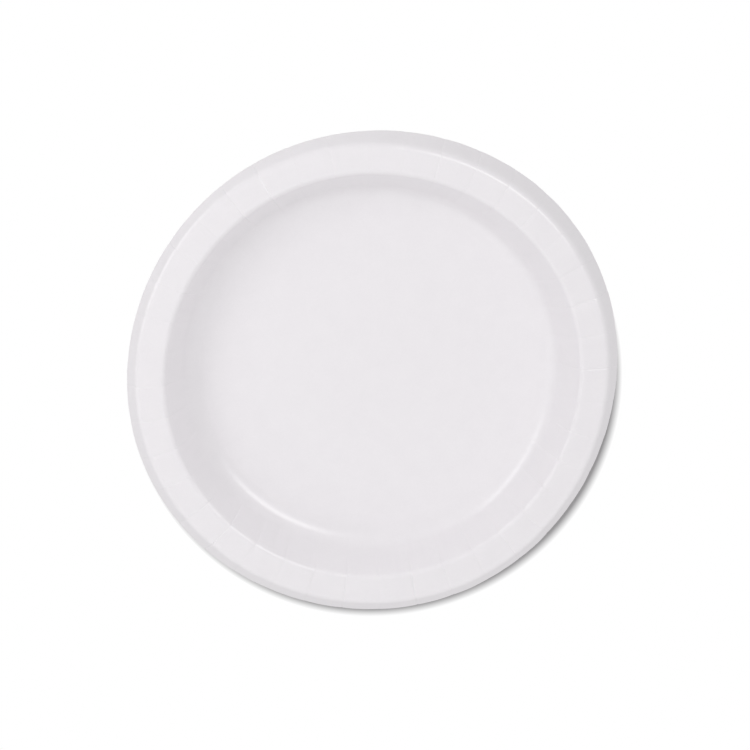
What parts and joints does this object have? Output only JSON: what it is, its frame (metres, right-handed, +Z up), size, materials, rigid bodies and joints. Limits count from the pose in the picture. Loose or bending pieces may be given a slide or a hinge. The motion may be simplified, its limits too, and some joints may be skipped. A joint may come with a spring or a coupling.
{
  "type": "paper plate",
  "caption": "Round disposable plate pressed from one sheet of coated white board, with a flat floor, a sloping wall and a broad pleated rim with a turned-down lip.",
  "frame": {"origin": "middle of the underside of the floor, on the surface that the plate stands on", "axes": "+Z up along the plate's axis; +X points at the middle of a panel between two pleats"},
  "size_m": [0.228, 0.228, 0.019],
  "materials": {
    "board": "white coated paperboard, satin on the food side, bare board at the cut edge"
  },
  "bodies": {
    "root": {"plate": "board"}
  },
  "joints": []
}
